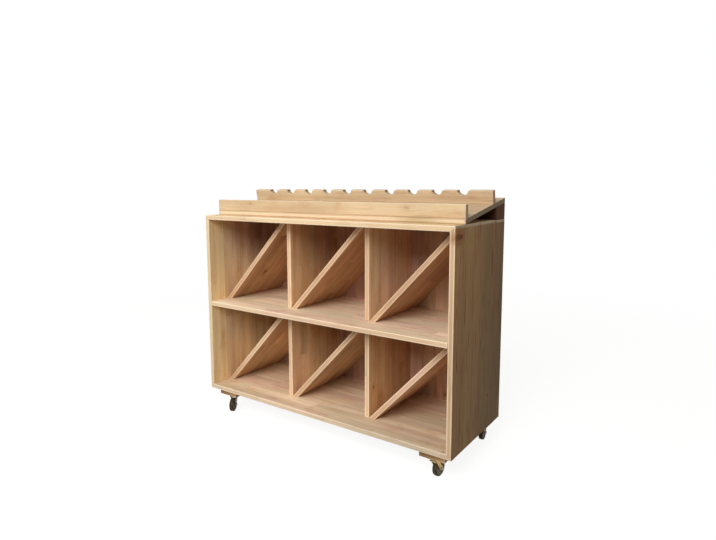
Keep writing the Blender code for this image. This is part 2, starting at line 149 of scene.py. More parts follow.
# Mouldings of the wheels: clean and dusty colour, least roughness, specular level, and the radii
# between which dust gathers
mouldings = {
    "hub_nylon": (srgb(98, 94, 84), srgb(132, 124, 106), 0.42, 0.40, 0.008, 0.018),
    "tyre_rubber": (srgb(30, 26, 20), srgb(100, 87, 62), 0.60, 0.15, 0.0225, 0.0246),
}

# Colours that the boards share
stave_olive = srgb(250, 250, 238)
stave_pink = srgb(255, 246, 242)
glue_line = srgb(104, 68, 40)
# Pale arris colour: partly sanding, partly painted highlight
sanded_and_highlit = srgb(248, 228, 198)
blotch_wood = srgb(226, 168, 112)
end_brown = srgb(142, 118, 88)
# End grain inside notches, darkened as painted shade
notch_end_grain_shade = srgb(104, 88, 66)
streak_dark = srgb(168, 150, 132)
knot_halo = srgb(150, 98, 55)
knot_heart = srgb(80, 44, 14)

# Painted shade on the outer face of the end panels: the colours it is darkened by at the front and the
# rear, darker and greyer to the rear, and how far from the middle they keep changing
outer_front_shade = srgb(195, 176, 153)
outer_rear_shade = srgb(131, 120, 97)
# Pale top band of the outer face: partly sanding, partly a painted highlight of the rounded top edge
top_band_sanded_highlit = srgb(206, 192, 166)
outer_shade_reach = 0.25
shade_reach = 0.4

# Specular levels of the boards
board_gloss = 0.30
outer_gloss = 0.06

# How uneven staves and blocks are, 0 to 1, how far apart the blocks of two staves start, in blocks,
# and how far apart in the noise two blocks are cut
stave_unevenness = 0.5
block_unevenness = 0.6
block_start_spread = 37.0
block_cut_spread = 9.0

# Glue lines, growth rings and arrises
glue_width = 0.0009
butt_width = 0.0006
ring_pitch = 0.0048
pith_spread = 0.15
pith_depth = 0.022
pith_depth_spread = 0.05
sway_reach = 0.060
arris_wide_face = 0.0016
arris_narrow_face = 0.0062

# Scales of the noises in the wood: through the board, across its staves and along them
slow_grain = (6.0, 6.0, 1.6)
small_grain = (60.0, 60.0, 5.0)
streak_grain = (24.0, 24.0, 1.3)
cloud_grain = (9.0, 9.0, 4.0)
blotch_grain = (14.0, 14.0, 9.0)
mark_grain = (110.0, 110.0, 7.0)
fibre_grain = (700.0, 700.0, 18.0)

# Relief of the wood, for the bump: late wood and glue lines lie low, fibres stand up
late_height = -0.00003
fibre_height = 0.00005
glue_depth = 0.00025

# Sockets of the board shader
board_inputs = (
    ("Place", "NodeSocketVector"),
    ("Half", "NodeSocketVector"),
    ("Normal", "NodeSocketVector"),
    ("Seed", "NodeSocketFloat"),
    ("Stave", "NodeSocketFloat"),
    ("Block", "NodeSocketFloat"),
    ("Light", "NodeSocketColor"),
    ("Dark", "NodeSocketColor"),
    ("Variety", "NodeSocketFloat"),
    ("Wear_and_highlight", "NodeSocketFloat"),
    ("Edge", "NodeSocketFloat"),
    ("Rim", "NodeSocketColor"),
    ("Arris", "NodeSocketColor"),
    ("End", "NodeSocketColor"),
    ("Outside", "NodeSocketFloat"),
)
board_outputs = (
    ("Color", "NodeSocketColor"),
    ("Roughness", "NodeSocketFloat"),
    ("Height", "NodeSocketFloat"),
)

# Looks of the boards. Stave is the width of a stave and Block the length of a block in it, Light
# and Dark are the wood, and Variety is how much the blocks differ. Wear and highlight is how pale
# the arrises are, partly sanding wear and partly a painted highlight where eased edges catch light.
# Edge is how far the narrow faces have their own colour, Rim, with Arris beside it. End is the end
# grain's colour, and Outside is 1 or -1 where the face to that side is an outer one.
whole_length = 9.0
common_look = {"Arris": sanded_and_highlit, "End": end_brown, "Outside": 0.0}
pale_look = {
    **common_look,
    "Stave": 0.058,
    "Block": 0.420,
    "Light": srgb(240, 214, 178),
    "Dark": srgb(208, 172, 130),
    "Variety": 0.16,
    "Wear_and_highlight": 0.60,
    "Edge": 0.55,
    "Rim": srgb(226, 204, 172),
}
shelf_look = {
    **common_look,
    "Stave": 0.046,
    "Block": 0.300,
    "Light": srgb(252, 234, 211),
    "Dark": srgb(222, 190, 164),
    "Variety": 0.22,
    "Wear_and_highlight": 0.70,
    "Edge": 0.60,
    "Rim": srgb(205, 172, 136),
}
bottom_look = {
    **common_look,
    "Stave": 0.046,
    "Block": 0.300,
    "Light": srgb(245, 223, 197),
    "Dark": srgb(209, 177, 150),
    "Variety": 0.16,
    "Wear_and_highlight": 0.70,
    "Edge": 0.60,
    "Rim": srgb(232, 210, 178),
}
upright_look = {
    **common_look,
    "Stave": 0.052,
    "Block": 0.450,
    "Light": srgb(238, 204, 164),
    "Dark": srgb(198, 154, 112),
    "Variety": 0.20,
    "Wear_and_highlight": 0.75,
    "Edge": 0.50,
    "Rim": srgb(224, 197, 165),
}
diagonal_look = {
    **common_look,
    "Stave": 0.052,
    "Block": 0.380,
    "Light": srgb(214, 176, 136),
    "Dark": srgb(172, 130, 94),
    "Variety": 0.22,
    "Wear_and_highlight": 0.55,
    "Edge": 0.85,
    "Rim": srgb(212, 175, 139),
}
back_look = {
    **common_look,
    "Stave": 0.058,
    "Block": whole_length,
    "Light": srgb(208, 168, 144),
    "Dark": srgb(148, 108, 92),
    "Variety": 0.24,
    "Wear_and_highlight": 0.40,
    "Edge": 0.20,
    "Rim": srgb(206, 164, 134),
}
side_look = {
    **common_look,
    "Stave": 0.085,
    "Block": whole_length,
    "Light": srgb(244, 222, 186),
    "Dark": srgb(204, 168, 126),
    "Variety": 0.38,
    "Wear_and_highlight": 0.75,
    "Edge": 0.60,
}
left_look = {**side_look, "Rim": srgb(216, 199, 171), "Arris": srgb(232, 211, 182), "Outside": -1.0}
right_look = {**side_look, "Rim": srgb(194, 161, 130), "Outside": 1.0}
tray_look = {
    **common_look,
    "Stave": 0.064,
    "Block": 0.420,
    "Light": srgb(216, 198, 166),
    "Dark": srgb(184, 156, 124),
    "Variety": 0.18,
    "Wear_and_highlight": 0.80,
    "Edge": 0.85,
    "Rim": srgb(232, 212, 180),
    # Its darker Arris and End are partly painted shade: thin shadow lines along the front edge under the
    # lip, and the end in shade
    "Arris": srgb(196, 164, 124),
    "End": srgb(108, 92, 68),
}
lip_look = {
    **common_look,
    "Stave": 0.110,
    "Block": whole_length,
    "Light": srgb(220, 196, 166),
    "Dark": srgb(193, 156, 121),
    "Variety": 0.08,
    "Wear_and_highlight": 0.60,
    "Edge": 0.20,
    "Rim": srgb(224, 206, 178),
    "End": srgb(166, 144, 112),
}
rail_look = {
    **common_look,
    "Stave": 0.110,
    "Block": whole_length,
    "Light": srgb(213, 189, 161),
    "Dark": srgb(182, 149, 120),
    "Variety": 0.08,
    "Wear_and_highlight": 0.60,
    "Edge": 0.20,
    "Rim": srgb(212, 190, 160),
    "End": srgb(178, 124, 100),
}
# The rear riser, painted near-black brown as shade in the gap under the tray
riser_shade_look = {
    **common_look,
    "Stave": 0.090,
    "Block": whole_length,
    "Light": srgb(78, 52, 40),
    "Dark": srgb(52, 34, 26),
    "Variety": 0.10,
    "Wear_and_highlight": 0.0,
    "Edge": 0.0,
    "Rim": srgb(78, 52, 40),
    "End": srgb(98, 62, 38),
}
block_look = {
    **common_look,
    "Stave": 0.110,
    "Block": whole_length,
    "Light": srgb(190, 151, 100),
    "Dark": srgb(144, 106, 66),
    "Variety": 0.20,
    "Wear_and_highlight": 0.35,
    "Edge": 0.10,
    "Rim": srgb(190, 151, 100),
}

# Two dividers that the photograph shows in a tone of their own
upright_tones = {
    "divider_upper_right": {
        "Light": srgb(250, 222, 190),
        "Dark": srgb(212, 170, 134),
        "Edge": 0.85,
        "Rim": srgb(198, 160, 126),
        "Arris": srgb(226, 198, 166),
    },
    "divider_lower_right": {"Light": srgb(222, 187, 146), "Dark": srgb(182, 139, 100)},
}

# Knots: place, radius, how dark, and how far drawn out along the grain, 0 to 1
board_knots = {
    "side_panel_right": (
        ((0.6, -0.210, 0.846), 0.0090, 0.85, 0.0),
        ((0.6, -0.197, 0.849), 0.0125, 1.0, 0.0),
        ((0.6, -0.183, 0.848), 0.0125, 1.0, 0.0),
        ((0.6, -0.169, 0.849), 0.0090, 0.85, 0.0),
        ((0.6, 0.1060, 0.7340), 0.010, 0.6, 0.85),
        ((0.6, 0.097, 0.2245), 0.005, 0.8, 0.5),
    ),
    "back_panel": (((0.3731, 0.2, 0.1427), 0.006, 0.6, 0.5),),
    "divider_lower_right": (((0.2067, -0.0928, 0.2320), 0.004, 0.55, 0.5),),
    "diagonal_upper_1": (((-0.4387, -0.0224, 0.6213), 0.007, 0.9, 0.5),),
    "tray_front_lip": (
        ((0.3762, -0.1420, 0.9376), 0.007, 0.26, 0.5),
        ((-0.3977, -0.1420, 0.9385), 0.006, 0.24, 0.5),
    ),
}

# Painted light and shade: soft round areas of a board made brighter or darker where light or shade falls:
# place, radius and tint
board_painted_light = {
    "side_panel_left": (
        ((-0.6, -0.02, 0.580), 0.24, (1.26, 1.26, 1.14)),
        ((-0.6, -0.02, 0.195), 0.24, (1.26, 1.18, 1.00)),
        ((-0.6, 0.11, 0.84), 0.30, (0.66, 0.54, 0.76)),
    ),
    "bottom_panel": (((0.44, -0.20, 0.10), 0.50, (0.76, 0.77, 0.80)),),
    "back_panel": (
        ((0.36, 0.2, 0.74), 0.30, (1.25, 1.45, 1.45)),
        ((0.36, 0.2, 0.38), 0.32, (1.52, 1.80, 1.66)),
    ),
    "tray_floor": (((0.42, -0.13, 0.895), 0.13, (0.74, 0.72, 0.60)),),
}

# Painted light and shade that lie at the middle of a divider or diagonal: depth, height, radius and tint;
# lighter at the dividers' feet, darker at one divider's head
foot_painted_light = {
    "lower": (-0.06, 0.19, 0.17, (1.16, 1.17, 1.20)),
    "upper": (-0.06, 0.58, 0.17, (1.16, 1.17, 1.20)),
}
head_painted_shade = {"divider_upper_left": (0.12, 0.82, 0.24, (0.74, 0.74, 0.94))}
# Painted light and shade on the undersides of some diagonals: depth, radius and tint
under_depth = 0.07
under_radius = 0.32
under_painted_light = {
    "diagonal_upper_3": (0.76, 0.68, 0.73),
    "diagonal_lower_1": (1.60, 1.85, 2.00),
    "diagonal_lower_2": (1.15, 1.28, 1.40),
    "diagonal_lower_3": (1.55, 1.62, 2.20),
}

# Painted shade on the left end of each caster block: radius and tint
block_painted_shade = (0.14, (0.42, 0.40, 0.38))

# Seeds of the boards that loops finish: the first, and what each next one adds
bin_seed = 11.0
upright_seed_step = 1.83
diagonal_seed_step = 2.29
block_seed = 20.3
block_seed_step = 1.7


class Shader:
    """Adds nodes to a node tree. Inputs are numbers, colours, vectors or other nodes' sockets."""

    def __init__(self, tree):
        self.tree = tree

    def add(self, kind, inputs, **settings):
        node = self.tree.nodes.new(kind)
        for name, value in settings.items():
            setattr(node, name, value)
        for name, value in inputs.items():
            self.plug(value, node.inputs[name])
        return node

    def plug(self, value, socket):
        if isinstance(value, bpy.types.NodeSocket):
            self.tree.links.new(value, socket)
        else:
            socket.default_value = value

    def math(self, operation, first, second=0.0, third=0.0):
        inputs = {0: first, 1: second, 2: third}
        return self.add("ShaderNodeMath", inputs, operation=operation).outputs[0]

    def vector(self, operation, first, second=(0, 0, 0)):
        node = self.add("ShaderNodeVectorMath", {0: first, 1: second}, operation=operation)
        return node.outputs["Value" if operation in ("DOT_PRODUCT", "LENGTH") else "Vector"]

    def scaled(self, vector, factor):
        node = self.add("ShaderNodeVectorMath", {0: vector, "Scale": factor}, operation="SCALE")
        return node.outputs["Vector"]

    def join(self, x, y, z):
        return self.add("ShaderNodeCombineXYZ", {"X": x, "Y": y, "Z": z}).outputs[0]

    def split(self, vector):
        return self.add("ShaderNodeSeparateXYZ", {0: vector}).outputs

    def smooth(self, value, start, end, low=0.0, high=1.0):
        """Goes smoothly from low to high while value goes from start to end."""
        inputs = {"Value": value, "From Min": start, "From Max": end, "To Min": low, "To Max": high}
        node = self.add("ShaderNodeMapRange", inputs, interpolation_type="SMOOTHSTEP")
        return node.outputs[0]

    def noise(self, vector, scale=1.0, detail=2.0, roughness=0.5):
        inputs = {"Vector": vector, "Scale": scale, "Detail": detail, "Roughness": roughness}
        return self.add("ShaderNodeTexNoise", inputs).outputs[0]

    def grain(self, place, scales, detail=2.0, roughness=0.5):
        """Noise that is drawn out along a board."""
        return self.noise(self.vector("MULTIPLY", place, scales), 1.0, detail, roughness)

    def cells(self, count, randomness):
        """Uneven cells along a line, and the distance to the nearest border between two."""
        inputs = {"W": count, "Scale": 1.0, "Randomness": randomness}
        inside = self.add("ShaderNodeTexVoronoi", inputs, voronoi_dimensions="1D")
        form = {"voronoi_dimensions": "1D", "feature": "DISTANCE_TO_EDGE"}
        border = self.add("ShaderNodeTexVoronoi", inputs, **form)
        return inside.outputs, border.outputs["Distance"]

    def blend(self, factor, first, second, mode="MIX"):
        node = self.add("ShaderNodeMix", {}, data_type="RGBA", blend_type=mode)
        sockets = {item.identifier: item for item in node.inputs}
        self.plug(factor, sockets["Factor_Float"])
        self.plug(first, sockets["A_Color"])
        self.plug(second, sockets["B_Color"])
        return next(item for item in node.outputs if item.identifier == "Result_Color")

    def shade(self, factor, colour, level):
        """Multiply a colour by a grey level, as far as factor says."""
        return self.blend(factor, colour, self.join(level, level, level), "MULTIPLY")


def find_block(shader, given, across, along):
    """The block of a stave that a point is in.

    Gives the block's random values, the glue lines round it, and how far the point is from the
    middle of its stave.
    """
    stave_count = shader.math("ADD", shader.math("DIVIDE", across, given["Stave"]), given["Seed"])
    staves, border = shader.cells(stave_count, stave_unevenness)
    start = shader.math("MULTIPLY", shader.split(staves["Color"])[0], block_start_spread)
    block_count = shader.math("ADD", shader.math("DIVIDE", along, given["Block"]), start)
    blocks, butt = shader.cells(block_count, block_unevenness)
    mixed = shader.vector("ADD", staves["Color"], blocks["Color"])
    chosen = shader.add("ShaderNodeTexWhiteNoise", {"Vector": mixed}, noise_dimensions="3D")
    border = shader.math("MULTIPLY", border, given["Stave"])
    butt = shader.math("MULTIPLY", butt, given["Block"])
    glue = shader.smooth(border, 0.0, glue_width, 1.0, 0.0)
    glue = shader.math("MAXIMUM", glue, shader.smooth(butt, 0.0, butt_width, 0.8, 0.0))
    from_middle = shader.math("SUBTRACT", stave_count, staves["W"])
    from_middle = shader.math("MULTIPLY", from_middle, given["Stave"])
    return chosen.outputs["Color"], glue, from_middle


def late_wood(shader, moved, thick, from_middle, chance):
    """The dark part of the growth rings, round a pith that lies outside each stave."""
    pith_across = shader.math("MULTIPLY_ADD", chance[0], pith_spread, -pith_spread / 2)
    pith_thick = shader.math("MULTIPLY_ADD", chance[1], -pith_depth_spread, -pith_depth)
    slow = shader.grain(moved, slow_grain)
    sway = shader.math("MULTIPLY_ADD", slow, sway_reach, -sway_reach / 2)
    away = shader.math("ADD", shader.math("SUBTRACT", from_middle, pith_across), sway)
    deep = shader.math("SUBTRACT", thick, pith_thick)
    far = shader.vector("LENGTH", shader.join(away, deep, 0.0))
    ragged = shader.math("MULTIPLY", shader.grain(moved, small_grain), 0.8)
    ring = shader.math("ADD", shader.math("DIVIDE", far, ring_pitch), ragged)
    ring = shader.math("FRACT", ring)
    late = shader.smooth(ring, 0.25, 0.92)
    return shader.math("MULTIPLY", late, shader.smooth(ring, 0.94, 1.0, 1.0, 0.0))


def planed_wood(shader, given, moved, chance, late, streaks, fibres, glue):
    """The colour of the wood, before what its faces and edges add."""
    cloud = shader.grain(moved, cloud_grain, 3.0)
    blotches = shader.grain(moved, blotch_grain, 3.0, 0.6)
    colour = shader.blend(shader.math("MULTIPLY", late, 0.28), given["Light"], given["Dark"])
    streak = shader.smooth(streaks, 0.30, 0.68, 0.60, 0.0)
    colour = shader.blend(streak, colour, given["Dark"])
    tone = shader.math("MULTIPLY_ADD", chance[2], given["Variety"], 1.0)
    tone = shader.math("SUBTRACT", tone, shader.math("MULTIPLY", given["Variety"], 0.5))
    tone = shader.math("MULTIPLY", tone, shader.math("MULTIPLY_ADD", cloud, 0.36, 0.82))
    tone = shader.math("MULTIPLY", tone, shader.math("MULTIPLY_ADD", fibres, 0.16, 0.92))
    colour = shader.shade(1.0, colour, tone)
    blotch = shader.smooth(blotches, 0.50, 0.72, 0.0, 0.30)
    colour = shader.blend(blotch, colour, shader.blend(1.0, colour, blotch_wood, "MULTIPLY"))
    tint = shader.blend(shader.smooth(chance[0], 0.15, 0.85), stave_olive, stave_pink)
    colour = shader.blend(1.0, colour, tint, "MULTIPLY")
    return shader.blend(shader.math("MULTIPLY", glue, 0.45), colour, glue_line)


def show_edges(shader, given, colour, late, streaks, facing, end_face):
    """Narrow faces with their own colour, pale arrises that are partly sanding and partly painted
    highlight, darker end grain, and painted shade on the end grain inside notches.
    """
    gap = shader.vector("SUBTRACT", given["Half"], shader.vector("ABSOLUTE", given["Place"]))
    gap_x, gap_y, gap_z = shader.split(gap)
    least = shader.math("MINIMUM", gap_x, shader.math("MINIMUM", gap_y, gap_z))
    most = shader.math("MAXIMUM", gap_x, shader.math("MAXIMUM", gap_y, gap_z))
    total = shader.math("ADD", gap_x, shader.math("ADD", gap_y, gap_z))
    second = shader.math("SUBTRACT", shader.math("SUBTRACT", total, least), most)
    narrow = shader.smooth(facing[1], 0.75, 0.98)
    narrow = shader.math("MULTIPLY", narrow, given["Edge"])
    mottle = shader.blend(shader.math("MULTIPLY", late, 0.35), given["Rim"], given["Dark"])
    colour = shader.blend(narrow, colour, mottle)
    reach = shader.smooth(facing[1], 0.5, 0.9, arris_wide_face, arris_narrow_face)
    reach = shader.math("MULTIPLY", reach, shader.math("MULTIPLY_ADD", streaks, 1.2, 0.4))
    # Pale arrises: partly sanding wear, partly painted highlight where the eased edges catch light
    edge = shader.smooth(shader.math("DIVIDE", second, reach), 0.35, 1.0, 1.0, 0.0)
    edge = shader.math("MULTIPLY", edge, given["Wear_and_highlight"])
    arris = shader.blend(shader.smooth(facing[1], 0.5, 0.9), sanded_and_highlit, given["Arris"])
    colour = shader.blend(edge, colour, arris)
    # End grain inside notches is darkened as painted shade; at the board's ends it keeps its own colour
    end_grain_and_notch_shade = shader.blend(shader.smooth(gap_z, 0.002, 0.008), given["End"], notch_end_grain_shade)
    end_grain_and_notch_shade = shader.blend(shader.math("MULTIPLY", late, 0.30), end_grain_and_notch_shade, knot_heart)
    return shader.blend(shader.math("MULTIPLY", end_face, 0.88), colour, end_grain_and_notch_shade)


def paint_outer_face_shade(shader, given, colour, moved, chance, across, along):
    """Painted shade on the outer face of an end panel: darker all over, darker and greyer to the rear,
    darker to the foot and lighter to the top, with a pale top band that is partly sanding and partly a
    painted highlight.
    """
    outwards = shader.math("MULTIPLY", shader.split(given["Normal"])[0], given["Outside"])
    outer = shader.smooth(outwards, 0.5, 0.95)
    # Painted shade: the outer face darkened, more so and greyer towards the rear
    outer_shade = shader.blend(shader.smooth(across, -outer_shade_reach, outer_shade_reach), outer_front_shade, outer_rear_shade)
    colour = shader.blend(outer, colour, outer_shade, "MULTIPLY")
    level = shader.math("MULTIPLY_ADD", chance[1], 0.10, 0.95)
    # Painted light and shade: lighter towards the top, darker towards the foot
    rise = shader.smooth(along, -shade_reach, shade_reach, 0.90, 1.11)
    level = shader.math("MULTIPLY", level, rise)
    level = shader.math("MULTIPLY", level, shader.smooth(along, 0.0, shade_reach, 1.0, 1.13))
    colour = shader.shade(outer, colour, level)
    # A pale band along the top: partly sanding, partly painted highlight
    top_gap = shader.math("SUBTRACT", shader.split(given["Half"])[2], along)
    band = shader.math("MULTIPLY", outer, shader.smooth(top_gap, 0.004, 0.012, 0.85, 0.0))
    colour = shader.blend(band, colour, top_band_sanded_highlit)
    marks = shader.smooth(shader.grain(moved, mark_grain), 0.56, 0.72)
    mark = shader.math("MULTIPLY", shader.math("MULTIPLY_ADD", outer, 0.55, 0.25), marks)
    return shader.blend(mark, colour, streak_dark, "MULTIPLY")


def make_board_group():
    """Solid pine glued up from staves of butted blocks. Place is (thickness, across, along).

    All lengths are metres, Height too, for a Bump node of distance 1.
    """
    group = bpy.data.node_groups.new("pine_board", "ShaderNodeTree")
    for name, kind in board_inputs:
        group.interface.new_socket(name, in_out="INPUT", socket_type=kind)
    for name, kind in board_outputs:
        group.interface.new_socket(name, in_out="OUTPUT", socket_type=kind)
    shader = Shader(group)
    given = group.nodes.new("NodeGroupInput").outputs
    result = group.nodes.new("NodeGroupOutput").inputs
    thick, across, along = shader.split(given["Place"])

    # Each block is cut from its own part of the noise
    chosen, glue, from_middle = find_block(shader, given, across, along)
    chance = shader.split(chosen)
    moved = shader.vector("ADD", given["Place"], shader.scaled(chosen, block_cut_spread))
    moved = shader.vector("ADD", moved, shader.join(given["Seed"], 0.0, given["Seed"]))
    late = late_wood(shader, moved, thick, from_middle, chance)
    streaks = shader.grain(moved, streak_grain, 2.6)
    fibres = shader.grain(moved, fibre_grain, 3.0, 0.7)

    facing = shader.split(shader.vector("ABSOLUTE", given["Normal"]))
    end_face = shader.smooth(facing[2], 0.75, 0.98)
    colour = planed_wood(shader, given, moved, chance, late, streaks, fibres, glue)
    colour = show_edges(shader, given, colour, late, streaks, facing, end_face)
    colour = paint_outer_face_shade(shader, given, colour, moved, chance, across, along)

    rough = shader.math("MULTIPLY_ADD", streaks, 0.18, 0.44)
    rough = shader.math("ADD", rough, shader.math("MULTIPLY", end_face, 0.12))
    height = shader.math("MULTIPLY", late, late_height)
    height = shader.math("ADD", height, shader.math("MULTIPLY", fibres, fibre_height))
    height = shader.math("SUBTRACT", height, shader.math("MULTIPLY", glue, glue_depth))
    group.links.new(colour, result["Color"])
    group.links.new(rough, result["Roughness"])
    group.links.new(height, result["Height"])
    return group


def new_material(name):
    """An empty Principled material, with its shader helper and its main node."""
    material = bpy.data.materials.new(name)
    material.use_nodes = True
    main = material.node_tree.nodes["Principled BSDF"]
    return material, Shader(material.node_tree), main


def wear_finish(piece, material):
    """Give a piece its material, in place of all it had."""
    piece.data.materials.clear()
    piece.data.materials.append(material)


def span(node, direction):
    """Middle and half length of a node along a direction."""
    reach = [vertex.co.dot(direction) for vertex in frame["nodes"][node].data.vertices]
    return (max(reach) + min(reach)) / 2, (max(reach) - min(reach)) / 2


def finish_board(node, across, along, look, seed, gloss=board_gloss, painted_light=()):
    """Pine for one board, with staves side by side in direction across, running in direction along."""
    axes = (across.cross(along), across, along)
    spans = [span(node, axis) for axis in axes]
    material, shader, main = new_material(node + "_pine")
    coordinates = shader.add("ShaderNodeTexCoord", {}).outputs
    place = coordinates["Object"]
    parts = []
    faces = []
    for axis, (middle, _) in zip(axes, spans):
        reach = shader.vector("DOT_PRODUCT", place, tuple(axis))
        parts.append(shader.math("SUBTRACT", reach, middle))
        faces.append(shader.vector("DOT_PRODUCT", coordinates["Normal"], tuple(axis)))
    inputs = {
        "Place": shader.join(*parts),
        "Half": [half for _, half in spans],
        "Normal": shader.join(*faces),
        "Seed": seed,
        **look,
    }
    board = shader.add("ShaderNodeGroup", inputs, node_tree=board_group)
    colour = board.outputs["Color"]
    # Painted light and shade: soft round spots, brighter or darker, on the board's inner faces
    outwards = shader.math("MULTIPLY", faces[0], look["Outside"])
    inner = shader.smooth(outwards, 0.5, 0.95, 1.0, 0.0)
    for spot, radius, tint in (*board_painted_light.get(node, ()), *painted_light):
        away = shader.vector("LENGTH", shader.vector("SUBTRACT", place, spot))
        light_mask = shader.math("MULTIPLY", shader.smooth(away, 0.0, radius, 1.0, 0.0), inner)
        colour = shader.blend(light_mask, colour, (*tint, 1.0), "MULTIPLY")
    for knot in board_knots.get(node, ()):
        colour = add_knot(shader, place, colour, along, *knot)
    shader.plug(colour, main.inputs["Base Color"])
    shader.plug(board.outputs["Roughness"], main.inputs["Roughness"])
    main.inputs["Specular IOR Level"].default_value = gloss
    bump = shader.add("ShaderNodeBump", {"Height": board.outputs["Height"], "Distance": 1.0})
    shader.plug(bump.outputs[0], main.inputs["Normal"])
    wear_finish(frame["nodes"][node], material)


def add_knot(shader, place, colour, along, spot, radius, depth, drawn):
    """A knot with a halo, darker with depth and drawn out along the grain."""
    away = shader.vector("SUBTRACT", place, spot)
    down_grain = shader.vector("DOT_PRODUCT", away, tuple(along))
    along_part = shader.scaled(shader.join(*along), shader.math("MULTIPLY", down_grain, drawn))
    squeezed = shader.vector("SUBTRACT", away, along_part)
    ragged = shader.noise(place, 90.0)
    far = shader.math("MULTIPLY_ADD", ragged, radius * 0.8, shader.vector("LENGTH", squeezed))
    halo = shader.smooth(far, radius * 1.1, radius * 4.0, 0.55 * depth, 0.0)
    heart = shader.smooth(far, radius * 0.9, radius * 1.5, 0.95 * depth, 0.0)
    colour = shader.blend(halo, colour, knot_halo)
    return shader.blend(heart, colour, knot_heart)


def make_metal(name):
    """Plated steel: blotchy, finely scratched, and duller in patches."""
    bright, dull, tint, rough = metals[name]
    material, shader, main = new_material(name)
    place = shader.add("ShaderNodeTexCoord", {}).outputs["Object"]
    blotch = shader.noise(place, 130.0, 4.0, 0.6)
    patch = shader.noise(place, 45.0)
    lines = shader.grain(place, (350.0, 350.0, 2600.0))
    colour = shader.blend(shader.smooth(blotch, 0.35, 0.70), bright, dull)
    colour = shader.blend(shader.smooth(patch, 0.45, 0.75, 0.0, 0.6), colour, tint)
    shader.plug(colour, main.inputs["Base Color"])
    roughness = shader.math("MULTIPLY_ADD", blotch, 0.30, rough)
    roughness = shader.math("ADD", roughness, shader.math("MULTIPLY", lines, 0.10))
    shader.plug(roughness, main.inputs["Roughness"])
    bump = shader.add("ShaderNodeBump", {"Height": lines, "Distance": 0.00006})
    shader.plug(bump.outputs[0], main.inputs["Normal"])
    main.inputs["Metallic"].default_value = 1.0
    return material


def make_moulded(name):
    """Plastic or rubber of a wheel, whose axle is the object's own z axis; dust gathers outwards."""
    clean, dusty, rough, gloss, dust_from, dust_to = mouldings[name]
    material, shader, main = new_material(name)
    place = shader.add("ShaderNodeTexCoord", {}).outputs["Object"]
    x, y, _ = shader.split(place)
    radius = shader.vector("LENGTH", shader.join(x, y, 0.0))
    texture = shader.noise(place, 900.0, 3.0, 0.6)
    smear = shader.noise(place, 140.0, 4.0, 0.6)
    dust = shader.smooth(radius, dust_from, dust_to, 0.15, 0.75)
    dust = shader.math("MULTIPLY", dust, shader.smooth(smear, 0.35, 0.65))
    shader.plug(shader.blend(dust, clean, dusty), main.inputs["Base Color"])
    roughness = shader.math("MULTIPLY_ADD", smear, 0.20, rough)
    shader.plug(roughness, main.inputs["Roughness"])
    main.inputs["Specular IOR Level"].default_value = gloss
    bump = shader.add("ShaderNodeBump", {"Height": texture, "Distance": 0.00010})
    shader.plug(bump.outputs[0], main.inputs["Normal"])
    return material


def link_new(name, data):
    """A new object in the scene."""
    piece = bpy.data.objects.new(name, data)
    bpy.context.scene.collection.objects.link(piece)
    return piece


def round_off(mesh):
    """Smooth shading, with the sharp edges kept."""
    for polygon in mesh.polygons:
        polygon.use_smooth = True
    mesh.set_sharp_from_angle(angle=sharp_angle)


def turned(name, profile, steps):
    """A closed ring profile of (radius, height) points, turned about z in a new mesh."""
    mesh = bpy.data.meshes.new(name)
    shape = bmesh.new()
    rings = []
    for step in range(steps):
        turn = math.tau * step / steps
        spots = [(radius * math.cos(turn), radius * math.sin(turn), height) for radius, height in profile]
        rings.append([shape.verts.new(spot) for spot in spots])
    for step in range(steps):
        near, next_ring = rings[step], rings[(step + 1) % steps]
        for index in range(len(profile)):
            after = (index + 1) % len(profile)
            shape.faces.new((near[index], next_ring[index], next_ring[after], near[after]))
    bmesh.ops.recalc_face_normals(shape, faces=shape.faces)
    shape.to_mesh(mesh)
    shape.free()
    round_off(mesh)
    return mesh


def corner(radius_centre, height_centre, size, start, end, steps):
    """Points of a rounded corner of a turned profile, angles in degrees from the radial direction."""
    spots = []
    for step in range(steps + 1):
        turn = math.radians(start + (end - start) * step / steps)
        spots.append((radius_centre + size * math.cos(turn), height_centre + size * math.sin(turn)))
    return spots


def tyre_profile():
    """A tyre with round shoulders, a slightly crowned tread and a raised mould line."""
    seat = wheel_radius - tyre_depth + joint_gap
    half = tyre_width / 2
    centre = wheel_radius - tyre_shoulder - tyre_crown
    tread = wheel_radius - mould_line_rise
    top = [(seat, half), *corner(centre, half - tyre_shoulder, tyre_shoulder, 90, 10, 8)]
    top += [(tread, tread_half), (tread, mould_line), (wheel_radius, 0.0)]
    mirrored = [(radius, -height) for radius, height in reversed(top) if height > 0]
    return top + mirrored


def hub_profile():
    """A dished hub: broad rim, recessed web and central boss, all with small round edges."""
    rim = wheel_radius - tyre_depth
    inner = rim - rim_width
    half = tyre_width / 2
    web = half - web_depth
    boss = boss_radius
    long_half = hub_length / 2
    slack = hub_fillet * 0.3
    top = [(axle_hole, long_half), *corner(boss - hub_ease, long_half - hub_ease, hub_ease, 90, 0, 3)]
    top += [(boss, web + hub_fillet), (boss + slack, web + slack), (boss + hub_fillet, web)]
    top += [(inner - hub_fillet, web), (inner - slack, web + slack), (inner, web + hub_fillet)]
    top += corner(inner + hub_ease, half - hub_ease, hub_ease, 180, 90, 3)
    top += corner(rim - hub_ease, half - hub_ease, hub_ease, 90, 0, 3)
    mirrored = [(radius, -height) for radius, height in reversed(top)]
    return top + mirrored


